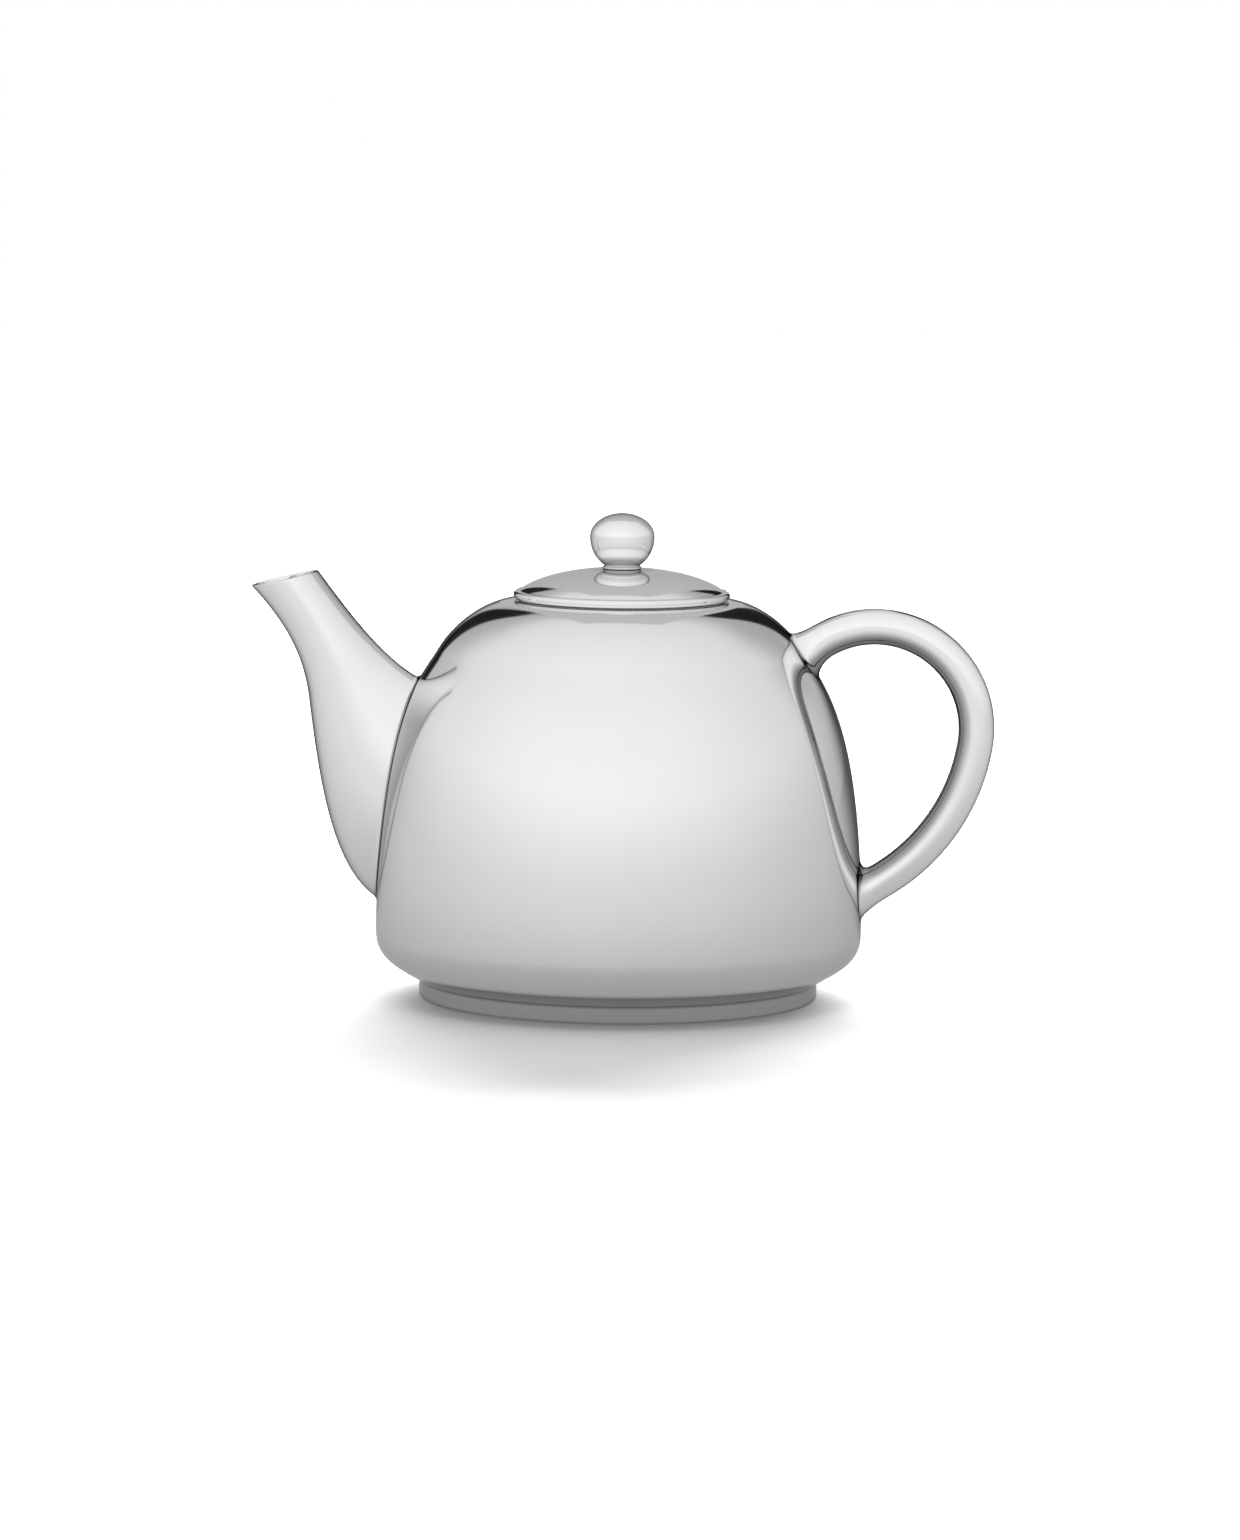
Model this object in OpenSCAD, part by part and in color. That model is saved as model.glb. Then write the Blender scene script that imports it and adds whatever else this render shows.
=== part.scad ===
// Teapot in polished silver: a spun pot on a foot ring, a hollow lofted spout, a hollow loop
// handle, and a loose lid with a turned knob.
// The origin is on the pot's axis at the table. Z is up, the spout points along -X and the
// handle along +X. Sizes are in millimetres and angles in degrees.

/* [Pot] */
// Radius of the belly at its widest
belly_r = 78.4; // [72:0.1:84]
// Height of the widest part of the belly above the table
belly_z = 20.5; // [19:0.1:24]
// Length of the curve's pull straight up from the belly
flank_lead = 68.5; // [56:0.5:72]
// Length of the curve's pull straight down from the belly
belly_drop = 9; // [7:0.1:11]
// Radius where the flank turns into the shoulder
shoulder_r = 58.9; // [55:0.1:62]
// Depth of that turn below the lid seat
shoulder_drop = 16.2; // [13:0.1:20]
// Inward lean of the wall at that turn, from the vertical
shoulder_lean = 31; // [26:0.5:36]
// Length of the flank curve's pull below that turn
flank_pull = 12.8; // [8:0.1:16]
// Length of the shoulder curve's pull above that turn
shoulder_pull = 8.8; // [6:0.1:11]
// Radius of the pot's mouth, where the collar is soldered in
mouth_r = 31.5; // [28:0.1:34]
// Width of the flat seat round the mouth, which the lid rests on
seat_w = 2.5; // [2.2:0.1:4]
// Height of the lid seat above the table
seat_z = 128.2; // [120:0.1:136]
// Length of the shoulder curve's level run outside the seat
seat_run = 10.3; // [7:0.1:13]
// Thickness of the pot's sheet
pot_wall = 0.9; // [0.7:0.05:1.3]

/* [Foot and bottom] */
// Outer radius of the foot ring
foot_r = 64.3; // [60:0.1:67]
// Height of the foot ring
foot_h = 5.4; // [4:0.1:7]
// Thickness of the foot ring's upright band
foot_wall = 1.4; // [1:0.1:2]
// Width of the flat edge that the pot stands on
foot_tread = 5; // [3:0.1:8]
// Thickness of that flat edge
foot_tread_t = 1.2; // [0.8:0.1:1.8]
// Radius of the foot ring's outer bottom edge
foot_round = 0.8; // [0.3:0.1:1.1]
// Upward slope of the pot's underside where it leaves the foot
under_rise = 35; // [28:0.5:42]
// Length of the underside curve's pull from the foot
under_lead = 7.6; // [5:0.1:9]
// Width of the pot's bottom lip, between the foot's outside and the bottom plate
lip_w = 1.6; // [1.4:0.1:2.4]
// Thickness of the bottom plate
pan_t = 1; // [0.7:0.1:1.4]
// Rise of the bottom plate's middle
pan_dome = 2.5; // [1:0.1:4]
// Width of the bottom plate's flat margin
pan_margin = 9; // [5:0.5:20]

/* [Collar and lid] */
// Depth of the collar inside the mouth
collar_h = 9; // [7:0.1:12]
// Thickness of the collar
collar_wall = 0.9; // [0.7:0.1:1.2]
// Gap between the collar and the lid's flange
lid_clear = 0.3; // [0.2:0.05:0.5]
// Depth of the lid's flange inside the collar
flange_h = 8; // [6:0.1:11]
// Thickness of the flange's upright wall
flange_wall = 0.8; // [0.6:0.1:1.1]
// Thickness of the flange's lip, which rests on the seat
flange_lip_t = 0.8; // [0.6:0.1:1.1]
// Width of the flange's lip outside its upright wall
flange_lip_w = 2.3; // [2:0.1:3]
// Width of the lid's rolled rim outside the flange's lip
rim_w = 2.25; // [2:0.05:3.5]
// Gap under the lid's rolled rim
rim_gap = 0.3; // [0.2:0.05:0.5]
// Radius of the rolled rim's edge
rim_round = 1.4; // [1.1:0.05:1.5]
// Height of the crease between the rolled rim and the dome, above the middle of that edge
crease_h = 1.3; // [1.2:0.05:1.8]
// Inset of that crease from the middle of that edge
crease_in = 0.3; // [0.1:0.05:0.5]
// Height of the lid's middle above the seat
dome_h = 10.1; // [8.5:0.1:12]
// Length of the dome curve's pull from the crease
dome_lead = 7.4; // [5:0.1:9]
// Slope of the dome at the crease
dome_slope = 38; // [32:0.5:44]
// Length of the dome curve's level pull towards the middle
dome_run = 8.5; // [5:0.1:12]
// Width of the flat pad round the knob's bead
pad_w = 0.1; // [0.1:0.1:2]
// Thickness of the lid's sheet
lid_wall = 0.9; // [0.7:0.05:1.2]
// Radius of the steam vent in the lid
vent_r = 1.25; // [0.8:0.05:2]
// Distance of the steam vent from the lid's middle, on the side away from the front
vent_out = 18; // [12:0.5:22]

/* [Knob] */
// Radius of the knob at its widest
knob_r = 10.4; // [8.5:0.1:12]
// Height of the knob's top above the lid
knob_h = 18; // [16.5:0.1:21]
// Height of the knob's widest part above the lid
knob_wide_z = 10.4; // [9.5:0.1:12.5]
// Length of the knob curve's level pull from the top
crown_run = 5.4; // [4:0.1:8]
// Length of the knob curve's pull above its widest part
crown_rise = 4.4; // [3:0.1:6]
// Length of the knob curve's pull below its widest part
egg_fall = 5.2; // [3:0.1:6]
// Outward lead of the knob curve where it meets the neck
egg_tuck_out = 1.4; // [1:0.1:2.6]
// Rise of the knob curve's lead where it meets the neck
egg_tuck_up = 0.9; // [0.5:0.1:2.5]
// Radius of the knob's neck
neck_r = 5.8; // [4.6:0.1:6.2]
// Height of the neck above its bead
neck_h = 0.3; // [0.2:0.1:1]
// Radius of the bead's section at the foot of the neck
bead_r = 0.5; // [0.3:0.05:0.6]
// Radius of the knob's screw
screw_r = 2; // [1.5:0.25:2.5]
// Gap round the screw in the lid and the washer
screw_clear = 0.15; // [0.1:0.05:0.3]
// Depth of the thread in the knob
thread_h = 8; // [5:0.5:11]
// Length of the thread left empty above the screw's end
thread_spare = 1; // [0.5:0.1:2]
// Radius of the screw's head
head_r = 3.6; // [3.2:0.1:4.5]
// Height of the screw's head
head_h = 2.2; // [1.6:0.1:2.8]
// Width of the slot in the screw's head
slot_w = 1; // [0.8:0.1:1.2]
// Depth of the slot in the screw's head
slot_h = 1; // [0.6:0.1:1.3]
// Radius of the washer
washer_r = 5; // [4.8:0.1:6]
// Thickness of the washer
washer_t = 0.8; // [0.5:0.1:1.2]

/* [Spout] */
// Height of the spout's lower joint above the widest part of the belly
spout_low_up = 9.7; // [6:0.1:15]
// Depth of the spout's upper joint below the turn into the shoulder
spout_high_drop = 10.1; // [7:0.1:14]
// Distance of the spout's knee outside the belly
knee_out = 22.45; // [19:0.05:26]
// Depth of the spout's knee below its upper joint
knee_drop = 7; // [4:0.1:11]
// Outward lean of the spout's outer edge at the knee, from the vertical
knee_lean = 7.2; // [4:0.1:11]
// Distance of the pouring lip outside the belly
tip_out = 41.7; // [38:0.1:45]
// Height of the pouring lip above the lid seat
tip_up = 3.2; // [1:0.1:6]
// Outward lean of the outer edge at the pouring lip, from the vertical
tip_lean = 44; // [38:0.5:50]
// Distance of the mouth's inner end outside the belly
brow_out = 19.9; // [18:0.1:22]
// Height of the mouth's inner end above the pouring lip
brow_up = 4.8; // [3:0.1:7]
// Outward lean of the upper edge at the mouth, from the vertical
brow_lean = 36.6; // [32:0.2:41]
// Outward reach of the lower edge's pull from the lower joint
heel_out = 14.8; // [11:0.1:18]
// Rise of the lower edge's pull from the lower joint
heel_up = 9; // [6:0.1:12]
// Length of the lower edge's pull below the knee
knee_pull_low = 26.6; // [20:0.1:32]
// Length of the lower edge's pull above the knee
knee_pull_high = 14.9; // [11:0.1:18]
// Length of the lower edge's pull at the pouring lip
tip_pull = 15.7; // [12:0.1:18]
// Outward reach of the upper edge's pull from the upper joint
throat_out = 11.9; // [9:0.1:14]
// Rise of the upper edge's pull from the upper joint
throat_up = 6.1; // [4:0.1:8]
// Length of the upper edge's pull at the mouth
brow_pull = 15.9; // [12:0.1:18]
// Width of the spout where it meets the pot
spout_base_w = 31; // [26:0.5:36]
// Width of the spout's mouth
spout_mouth_w = 20.2; // [18:0.1:22]
// Thickness of the spout's sheet
spout_wall = 1; // [0.8:0.05:1.4]
// Radius of each straining hole in the pot's wall
strain_r = 1.6; // [1:0.1:2]
// Distance between neighbouring straining holes
strain_pitch = 6.4; // [5.5:0.1:8]
// Margin of plain wall between the spout's lower joint and the pierced field
strain_low = 8.8; // [7:0.1:20]
// Margin of plain wall between the pierced field and the spout's upper joint
strain_high = 16.9; // [12:0.1:25]
// Margin of plain wall between the pierced field and each side of the spout
strain_side = 6; // [5:0.1:8]

/* [Handle] */
// Distance of the upper bend's centre outside the belly
crook_out = 3.6; // [2:0.1:8]
// Depth of the upper bend's centre below the turn into the shoulder
crook_drop = 23.6; // [20:0.1:28]
// Radius of the upper bend, at the tube's centre
crook_r = 32.7; // [30:0.1:36]
// Height of the handle's lower joint with the pot above the widest part of the belly
handle_low_up = 14.94; // [10:0.02:22]
// Angle below the level at which the upper bend passes into the lower one
bend_change = 8.7; // [0:0.1:12]
// Radius of the handle's tube
tube_r = 5.75; // [5:0.05:6.5]
// Thickness of the handle's sheet
tube_wall = 1; // [0.8:0.05:1.3]
// Extra radius of the soldered root where the handle meets the pot
root_flare = 2.4; // [1:0.1:3.5]
// Length over which the root tapers into the tube
root_len = 9; // [6:0.5:12]

/* [Hidden] */

// Overlap of a cut past the face that it opens
eps = 0.5;
// Solder gap under the lofted pieces, which keeps their flat facets clear of the round pot
solder_gap = 0.03;
// Points along each stretch of the pot's outline
under_n = 8;
flank_n = 16;
shoulder_n = 9;
dome_n = 10;
knob_n = 9;
round_n = 5;
// Rings along the spout and points round it
spout_rings = 28;
spout_pts = 36;
// Rings along the handle's bends and roots, and points round it
crook_rings = 16;
heel_rings = 11;
root_rings = 5;
handle_pts = 24;

// Place on a cubic curve with the four control points p
function bez(p, t) = pow(1 - t, 3) * p[0] + 3 * pow(1 - t, 2) * t * p[1]
                   + 3 * (1 - t) * t * t * p[2] + pow(t, 3) * p[3];
// Direction that leans the angle a inward from straight up, in an outline
function lean_in(a) = [-sin(a), cos(a)];
// The n + 1 points of a cubic curve, without its first "skip" points
function curve(p, n, skip = 0) = [for (i = [skip : n]) bez(p, i / n)];
// Points of an arc about c, from the angle a0 to the angle a1
function arc(c, r, a0, a1, n) = [for (i = [0 : n]) let (a = a0 + (a1 - a0) * i / n)
                                 c + r * [cos(a), sin(a)]];
// An open outline moved by t to its left, looking along it
function moved_left(p, t) = [for (i = [0 : len(p) - 1])
    let (d = p[min(i + 1, len(p) - 1)] - p[max(i - 1, 0)])
    p[i] + t * [-d[1], d[0]] / norm(d)];
function reversed(p) = [for (i = [len(p) - 1 : -1 : 0]) p[i]];

// ---- The pot's outline, as radius and height, from the foot up to the lid seat ----
foot_joint = [foot_r, foot_h];
belly = [belly_r, belly_z];
turn = [shoulder_r, seat_z - shoulder_drop];
seat = [mouth_r + seat_w, seat_z];
under_curve = [foot_joint, foot_joint + under_lead * [cos(under_rise), sin(under_rise)],
               belly - [0, belly_drop], belly];
flank_curve = [belly, belly + [0, flank_lead], turn - flank_pull * lean_in(shoulder_lean), turn];
shoulder_curve = [turn, turn + shoulder_pull * lean_in(shoulder_lean), seat + [seat_run, 0], seat];
pot_outline = concat(curve(under_curve, under_n), curve(flank_curve, flank_n, 1),
                     curve(shoulder_curve, shoulder_n, 1));
pot_inside = moved_left(pot_outline, pot_wall);
pan_r = foot_r - lip_w;
// Outer radius of the pot at a height
pot_table = [for (p = pot_outline) [p[1], p[0]]];
function pot_r(z) = lookup(z, pot_table);

module body_shell() {
    color([0.84, 0.84, 0.86])
    difference() {
        rotate_extrude($fn = 180)
            polygon(concat(pot_outline,
                           [[mouth_r, seat_z], [mouth_r, seat_z - pot_wall]],
                           reversed(pot_inside),
                           [[pan_r, foot_h + pan_t], [pan_r, foot_h]]));
        straining_holes();
    }
}

// Rows of small holes through the wall behind the spout, in a staggered oval field
module straining_holes() {
    field_low = low_start[1] + strain_low;
    field_high = high_start[1] - strain_high;
    field_h = field_high - field_low;
    field_w = spout_base_w - 2 * strain_side;
    row_h = strain_pitch * sin(60);
    rows = ceil(field_h / row_h / 2);
    cols = ceil(field_w / strain_pitch);
    for (row = [-rows : rows], col = [-cols : cols]) {
        y = (col + (row % 2 == 0 ? 0 : 0.5)) * strain_pitch;
        z = row * row_h;
        if (pow(2 * y / field_w, 2) + pow(2 * z / field_h, 2) <= 1)
            translate([-belly_r - eps, y, (field_low + field_high) / 2 + z])
                rotate([0, 90, 0])
                    cylinder(r = strain_r, h = belly_r / 2, $fn = 32);
    }
}

// Bottom plate: a flat margin soldered into the pot's lip, and a middle raised in a low dome
module base_pan() {
    dome_r = pan_r - pan_margin;
    under = [for (i = [0 : dome_n]) let (s = i / dome_n)
             [dome_r * (1 - s), foot_h + pan_dome * (1 - cos(180 * s)) / 2]];
    color([0.74, 0.74, 0.77])
    rotate_extrude($fn = 180)
        polygon(concat([[pan_r, foot_h]], under,
                       reversed([for (p = under) p + [0, pan_t]]),
                       [[pan_r, foot_h + pan_t]]));
}

// Foot: an upright band with its lower edge turned in to a flat tread
module foot_ring() {
    edge = arc([foot_r - foot_round, foot_round], foot_round, -90, 0, round_n);
    color([0.62, 0.62, 0.66])
    rotate_extrude($fn = 180)
        polygon(concat([[foot_r - foot_tread, 0]], edge,
                       [foot_joint, [foot_r - foot_wall, foot_h],
                        [foot_r - foot_wall, foot_tread_t], [foot_r - foot_tread, foot_tread_t]]));
}

// Upright collar soldered into the mouth, flush with the lid seat
module mouth_collar() {
    color([0.78, 0.78, 0.8])
    translate([0, 0, seat_z - collar_h])
        tube(mouth_r, mouth_r - collar_wall, collar_h);
}

module tube(r_out, r_in, h) {
    difference() {
        cylinder(r = r_out, h = h, $fn = 180);
        translate([0, 0, -eps])
            cylinder(r = r_in, h = h + 2 * eps, $fn = 180);
    }
}

// ---- Lid ----
rim_z = seat_z + rim_gap;
apex_z = seat_z + dome_h;
flange_r = mouth_r - collar_wall - lid_clear;
flange_lip_r = flange_r + flange_lip_w;
rim_mid = [flange_lip_r + rim_w - rim_round, rim_z + rim_round];
crease = rim_mid + [-crease_in, crease_h];
pad = [neck_r + bead_r + pad_w, apex_z];
dome_curve = [crease, crease + dome_lead * [-cos(dome_slope), sin(dome_slope)],
              pad + [dome_run, 0], pad];
dome_outline = curve(dome_curve, dome_n);
screw_hole_r = screw_r + screw_clear;

// Lid top: a low dome pressed from sheet, with its edge rolled into a soft rim
module lid_dome() {
    rim_edge = arc(rim_mid, rim_round, -90, 60, 2 * round_n);
    color([0.86, 0.86, 0.88])
    difference() {
        rotate_extrude($fn = 180)
            polygon(concat([[flange_lip_r, rim_z]], rim_edge, dome_outline,
                           [[screw_hole_r, apex_z], [screw_hole_r, apex_z - lid_wall]],
                           reversed([for (p = moved_left(dome_outline, lid_wall))
                                     [min(p[0], flange_lip_r), p[1]]])));
        translate([0, vent_out, rim_z])
            cylinder(r = vent_r, h = dome_h + eps, $fn = 32);
    }
}

// Flange: a lip that rests on the seat and an upright wall that centres the lid in the collar
module lid_flange() {
    color([0.76, 0.76, 0.79])
    rotate_extrude($fn = 180)
        polygon([[flange_r, seat_z - flange_h], [flange_r, seat_z], [flange_lip_r, seat_z],
                 [flange_lip_r, seat_z + flange_lip_t],
                 [flange_r - flange_wall, seat_z + flange_lip_t],
                 [flange_r - flange_wall, seat_z - flange_h]]);
}

// Turned knob: an egg on a short neck with a fine bead, bored and tapped from below
module knob() {
    neck_top = 2 * bead_r + neck_h;
    widest = [knob_r, knob_wide_z];
    neck = [neck_r, neck_top];
    crown_curve = [[0, knob_h], [crown_run, knob_h], widest + [0, crown_rise], widest];
    egg_curve = [widest, widest - [0, egg_fall], neck + [egg_tuck_out, egg_tuck_up], neck];
    color([0.9, 0.9, 0.92])
    translate([0, 0, apex_z])
        difference() {
            rotate_extrude($fn = 120)
                polygon(concat([[0, 0]], arc([neck_r, bead_r], bead_r, -90, 90, 2 * round_n),
                               reversed(curve(egg_curve, knob_n)),
                               reversed(curve(crown_curve, knob_n))));
            translate([0, 0, -eps])
                cylinder(r = screw_r, h = thread_h + eps, $fn = 48);
        }
}

// Slotted screw that draws the knob down on the lid from inside
module knob_screw() {
    head_z = apex_z - lid_wall - washer_t;
    color([0.7, 0.7, 0.72])
    difference() {
        union() {
            translate([0, 0, head_z - head_h])
                cylinder(r = head_r, h = head_h, $fn = 64);
            translate([0, 0, head_z - head_h / 2])
                cylinder(r = screw_r, h = apex_z + thread_h - thread_spare - head_z + head_h / 2,
                         $fn = 48);
        }
        translate([-head_r - eps, -slot_w / 2, head_z - head_h - eps])
            cube([2 * (head_r + eps), slot_w, slot_h + eps]);
    }
}

module knob_washer() {
    color([0.66, 0.66, 0.68])
    translate([0, 0, apex_z - lid_wall - washer_t])
        tube(washer_r, screw_hole_r, washer_t);
}

// ---- Lofted skins ----
// Distance outside the pot's surface of a point, measured level from the axis
function outside(p) = norm([p[0], p[1]]) - pot_r(p[2]);
// Distance along the direction d, between lo and hi, at which a line from p enters the pot
function entry(p, d, lo, hi, n = 26) = n == 0 ? (lo + hi) / 2
    : outside(p + d * (lo + hi) / 2) > 0 ? entry(p, d, (lo + hi) / 2, hi, n - 1)
    : entry(p, d, lo, (lo + hi) / 2, n - 1);

// Hollow tube through two equal stacks of rings, closed between them at both ends
module skin(outer, inner) {
    n = len(outer);
    m = len(outer[0]);
    points = concat([for (ring = outer) each ring], [for (ring = inner) each ring]);
    second = n * m;
    side = [for (i = [0 : n - 2], j = [0 : m - 1]) let (k = (j + 1) % m) each [
        [i * m + j, (i + 1) * m + j, (i + 1) * m + k],
        [i * m + j, (i + 1) * m + k, i * m + k]]];
    ends = [for (i = [0, n - 1], j = [0 : m - 1]) let (k = (j + 1) % m, a = i * m) each i == 0
        ? [[a + j, a + k, second + a + k], [a + j, second + a + k, second + a + j]]
        : [[a + j, second + a + k, a + k], [a + j, second + a + j, second + a + k]]];
    polyhedron(points, concat(side, ends, [for (f = side) second * [1, 1, 1] + [f[2], f[1], f[0]]]),
               convexity = 6);
}

// ---- Spout: sections between a lower and an upper rail in the plane through the axis ----
low_z = belly_z + spout_low_up;
high_z = turn[1] - spout_high_drop;
low_start = [-pot_r(low_z), low_z];
high_start = [-pot_r(high_z), high_z];
knee = [-belly_r - knee_out, high_z - knee_drop];
tip = [-belly_r - tip_out, seat_z + tip_up];
brow = [-belly_r - brow_out, tip[1] + brow_up];
// Share of the loft at which the lower rail passes its knee
knee_at = 0.55;
// How fast the width falls off from the joint, and how fast the joint's bend dies out
spout_taper = 1.6;
seat_fade = 4;
low_rail_a = [low_start, low_start + [-heel_out, heel_up],
              knee - knee_pull_low * lean_in(knee_lean), knee];
low_rail_b = [knee, knee + knee_pull_high * lean_in(knee_lean),
              tip - tip_pull * lean_in(tip_lean), tip];
high_rail = [high_start, high_start + [-throat_out, throat_up],
             brow - brow_pull * lean_in(brow_lean), brow];
function low_at(t) = t < knee_at ? bez(low_rail_a, t / knee_at)
                   : bez(low_rail_b, (t - knee_at) / (1 - knee_at));
function spout_half_w(t) =
    (spout_mouth_w + (spout_base_w - spout_mouth_w) * pow(1 - t, spout_taper)) / 2;
// Flat oval section at the share t of the loft, drawn in by the thickness of the sheet
function spout_oval(t, angle, inset) =
    let (low = low_at(t), high = bez(high_rail, t), mid = (low + high) / 2,
         half = norm(high - low) / 2, e = (high - low) / (2 * half))
    [mid[0] + e[0] * (half - inset) * cos(angle), (spout_half_w(t) - inset) * sin(angle),
     mid[1] + e[1] * (half - inset) * cos(angle)];
// The first section is carried level onto the pot, and the next ones follow it less and less
function spout_point(t, angle, inset) =
    let (p = spout_oval(t, angle, inset), foot = spout_oval(0, angle, inset),
         r = pot_r(foot[2]) + solder_gap, seat_x = -sqrt(r * r - foot[1] * foot[1]))
    p + [(seat_x - foot[0]) * pow(1 - t, seat_fade), 0, 0];
function spout_stack(inset) = [for (i = [0 : spout_rings]) [for (j = [0 : spout_pts - 1])
    spout_point(i / spout_rings, 360 * j / spout_pts, inset)]];

module spout() {
    color([0.8, 0.8, 0.83])
        skin(spout_stack(0), spout_stack(spout_wall));
}

// ---- Handle: a round tube along two bends that pass into each other ----
// How closely the root's rings crowd the joint, and how hollow its taper is
root_crowd = 1.4;
root_hollow = 3;
crook_c = [belly_r + crook_out, turn[1] - crook_drop];
// The lower bend leaves the upper one smoothly, and its radius is the one that brings it to the joint
change_dir = [cos(bend_change), -sin(bend_change)];
handle_low = [pot_r(belly_z + handle_low_up), belly_z + handle_low_up];
change_gap = handle_low - crook_c - crook_r * change_dir;
heel_r = -change_gap * change_gap / (2 * change_gap * change_dir);
heel_c = crook_c + (crook_r - heel_r) * change_dir;
function on_bend(c, r, a) = c + r * [cos(a), sin(a)];
// Angle about a bend's centre, between lo outside the pot and hi inside it, at the pot's surface
function bend_end(c, r, lo, hi, n = 26) = let (mid = (lo + hi) / 2, p = on_bend(c, r, mid))
    n == 0 ? mid
    : p[0] > pot_r(p[1]) ? bend_end(c, r, mid, hi, n - 1)
    : bend_end(c, r, lo, mid, n - 1);
top_end = bend_end(crook_c, crook_r, 90, 179);
low_end = bend_end(heel_c, heel_r, -bend_change, -89);
top_root = root_len / crook_r * 180 / PI;
low_root = root_len / heel_r * 180 / PI;
// Each station: the bend's centre, radius and angle, the share of the root that is left, and
// the angle at which this end of the handle meets the pot
handle_stations = concat(
    [for (i = [0 : root_rings - 1]) let (s = pow(i / root_rings, root_crowd))
        [crook_c, crook_r, top_end - top_root * s, 1 - s, top_end]],
    [for (i = [0 : crook_rings])
        let (a = top_end - top_root, b = -bend_change)
        [crook_c, crook_r, a + (b - a) * i / crook_rings, 0, top_end]],
    [for (i = [1 : heel_rings])
        let (a = -bend_change, b = low_end + low_root)
        [heel_c, heel_r, a + (b - a) * i / heel_rings, 0, low_end]],
    [for (i = [root_rings - 1 : -1 : 0]) let (s = pow(i / root_rings, root_crowd))
        [heel_c, heel_r, low_end + low_root * s, 1 - s, low_end]]);
function bend_ring(c, r, a, tube, angle) =
    let (p = on_bend(c, r, a), u = [cos(a), sin(a)])
    [p[0] + u[0] * tube * cos(angle), tube * sin(angle), p[1] + u[1] * tube * cos(angle)];
// A root's end ring is carried along the tube onto the pot, and its other rings follow it less
function handle_point(s, angle, tube, flare) =
    let (c = s[0], r = s[1], left = s[3], a_end = s[4],
         into = a_end > 0 ? [-sin(a_end), 0, cos(a_end)] : [sin(a_end), 0, -cos(a_end)],
         foot = bend_ring(c, r, a_end, tube + flare, angle),
         carry = left > 0 ? entry(foot, into, -3 * tube_r, 3 * tube_r) - solder_gap : 0)
    bend_ring(c, r, s[2], tube + flare * pow(left, root_hollow), angle) + into * carry * left * left;
function handle_stack(tube, flare) = [for (s = handle_stations) [for (j = [0 : handle_pts - 1])
    handle_point(s, 360 * j / handle_pts, tube, flare)]];

module handle() {
    color([0.8, 0.8, 0.83])
        skin(handle_stack(tube_r, root_flare), handle_stack(tube_r - tube_wall, 0));
}

body_shell();
base_pan();
foot_ring();
mouth_collar();
spout();
handle();
lid_dome();
lid_flange();
knob();
knob_screw();
knob_washer();
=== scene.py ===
# %% [markdown]
# # A polished silver teapot
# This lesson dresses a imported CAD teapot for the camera. The CAD model is the fixed frame: it says
# where every piece is and how big it is, and its bodies, the pot and the lid, are what moves. Here
# the pieces that show get denser, smoother skins with soft edges and solder fillets, then their
# polished finish, and last a bright studio, because a mirror is only as good as what it reflects.

# %% Load the frame
import math
import bmesh
import bpy
import numpy as np
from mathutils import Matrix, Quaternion, Vector


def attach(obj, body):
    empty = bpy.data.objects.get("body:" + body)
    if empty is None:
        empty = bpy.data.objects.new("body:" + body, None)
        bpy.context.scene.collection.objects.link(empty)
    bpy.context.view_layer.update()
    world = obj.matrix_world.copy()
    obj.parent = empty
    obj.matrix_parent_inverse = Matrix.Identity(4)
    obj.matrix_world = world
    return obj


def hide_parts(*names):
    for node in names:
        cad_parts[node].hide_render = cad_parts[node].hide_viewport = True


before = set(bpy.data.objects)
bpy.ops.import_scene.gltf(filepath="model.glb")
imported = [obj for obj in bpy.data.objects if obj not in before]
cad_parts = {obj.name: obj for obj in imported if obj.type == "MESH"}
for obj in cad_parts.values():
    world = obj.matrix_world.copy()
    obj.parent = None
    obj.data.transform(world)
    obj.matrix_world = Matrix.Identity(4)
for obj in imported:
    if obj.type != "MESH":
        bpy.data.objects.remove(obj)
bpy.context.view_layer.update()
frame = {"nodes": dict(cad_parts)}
MM = 0.001
print("nodes:", ", ".join(frame["nodes"]))

# %% [markdown]
# ## The camera
# The camera stands a little over two metres away with a long lens, slightly above the pot and a
# few degrees round towards the handle. It is made first, so that every later step can be looked at
# through it. A camera looks down its own -Z axis, so a track quaternion turns that axis towards
# the target, and a small roll about the same axis leans the picture.

# %% Camera
PICTURE_H = 1540
CAMERA_TURN = math.radians(4.0)
CAMERA_AWAY = 2.200
CAMERA_UP = 0.3314
LOOK_AT = Vector((0.0, 0.0, 0.0732))
FOCAL_PIXELS = 6867
ROLL = math.radians(0.58)
SENSOR_MM = 36
SEEN_AS_FAR_AS = 50

camera_data = bpy.data.cameras.new("studio_camera")
camera_data.sensor_width = SENSOR_MM
camera_data.lens = FOCAL_PIXELS / PICTURE_H * SENSOR_MM
camera_data.clip_end = SEEN_AS_FAR_AS
camera = bpy.data.objects.new("studio_camera", camera_data)
camera.location = (CAMERA_AWAY * math.sin(CAMERA_TURN), -CAMERA_AWAY * math.cos(CAMERA_TURN), CAMERA_UP)
camera.rotation_mode = "QUATERNION"
aim = (LOOK_AT - camera.location).to_track_quat("-Z", "Y")
camera.rotation_quaternion = aim @ Quaternion((0, 0, 1), ROLL)
bpy.context.scene.collection.objects.link(camera)
bpy.context.scene.camera = camera
print("lens in mm:", round(camera_data.lens, 1))

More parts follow.
